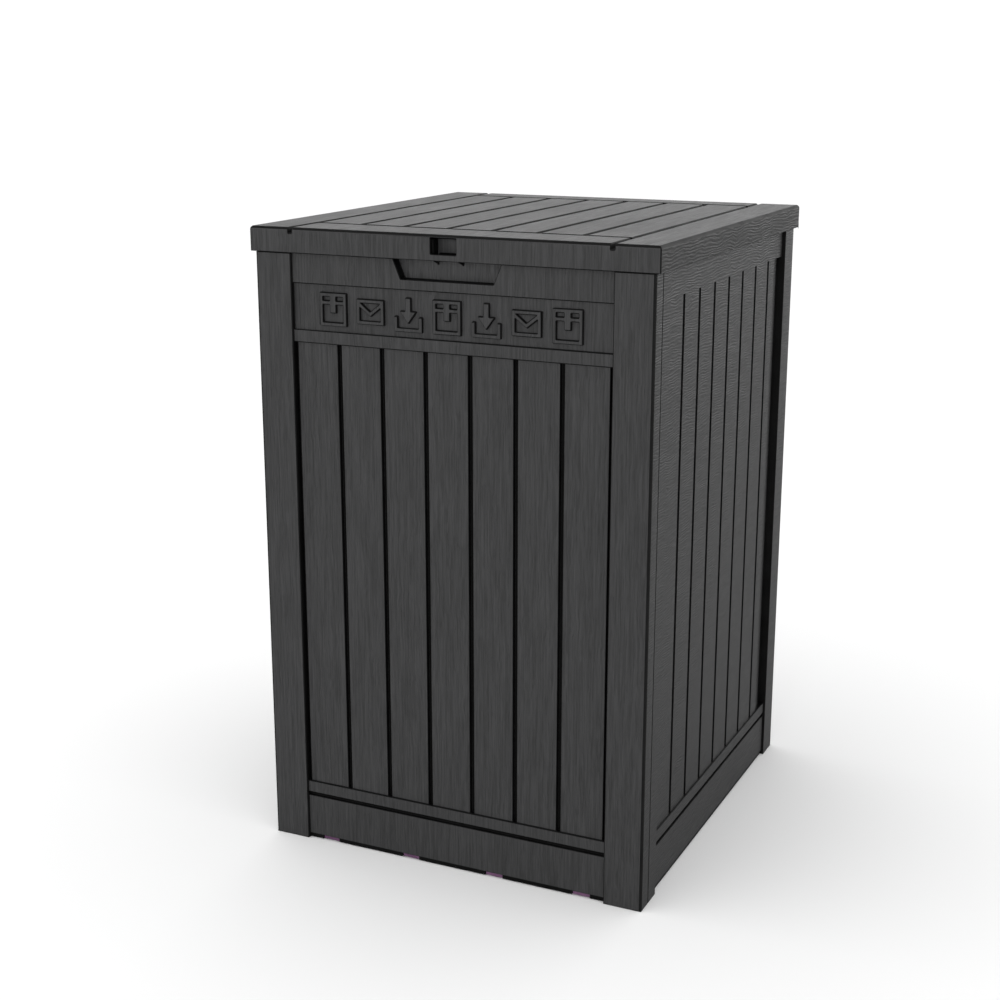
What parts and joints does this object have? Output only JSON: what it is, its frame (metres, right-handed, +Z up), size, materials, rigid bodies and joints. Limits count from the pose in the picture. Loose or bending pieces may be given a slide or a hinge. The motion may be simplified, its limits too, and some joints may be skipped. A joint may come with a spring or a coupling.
{
  "type": "parcel drop box",
  "caption": "Top-opening resin parcel box with slatted wood-look walls, a raised sign band, a finger recess and a hinged lid with a padlock window.",
  "frame": {"origin": "on the ground under the middle of the lid", "axes": "+Z up, +X to the right seen from the front, the front faces -Y"},
  "size_m": [0.415, 0.441, 0.63],
  "materials": {
    "black_resin": "fine moulded wood grain, satin black",
    "zinc_steel": "zinc plated",
    "clip_resin": "muted purple moulded plastic"
  },
  "bodies": {
    "carcass": {"front_panel": "black_resin", "rear_panel": "black_resin", "side_panel_right": "black_resin", "side_panel_left": "black_resin", "floor_panel": "black_resin", "hinge_pin_left": "zinc_steel", "hinge_pin_right": "zinc_steel", "corner_screw_front_left_1": "zinc_steel", "corner_screw_front_left_2": "zinc_steel", "corner_screw_front_left_3": "zinc_steel", "corner_screw_rear_left_1": "zinc_steel", "corner_screw_rear_left_2": "zinc_steel", "corner_screw_rear_left_3": "zinc_steel", "corner_screw_front_right_1": "zinc_steel", "corner_screw_front_right_2": "zinc_steel", "corner_screw_front_right_3": "zinc_steel", "corner_screw_rear_right_1": "zinc_steel", "corner_screw_rear_right_2": "zinc_steel", "corner_screw_rear_right_3": "zinc_steel", "floor_clip_front_1": "clip_resin", "floor_clip_front_2": "clip_resin", "floor_clip_front_3": "clip_resin", "floor_clip_front_4": "clip_resin", "floor_clip_rear_1": "clip_resin", "floor_clip_rear_2": "clip_resin", "floor_clip_rear_3": "clip_resin", "floor_clip_rear_4": "clip_resin"},
    "lid_body": {"lid": "black_resin"}
  },
  "joints": [
    {"name": "lid_hinge", "type": "hinge", "parent": "carcass", "child": "lid_body", "pos_m": [0, 0.212, 0.616], "axis": [-1, 0, 0], "range_deg": [0, 100]}
  ]
}
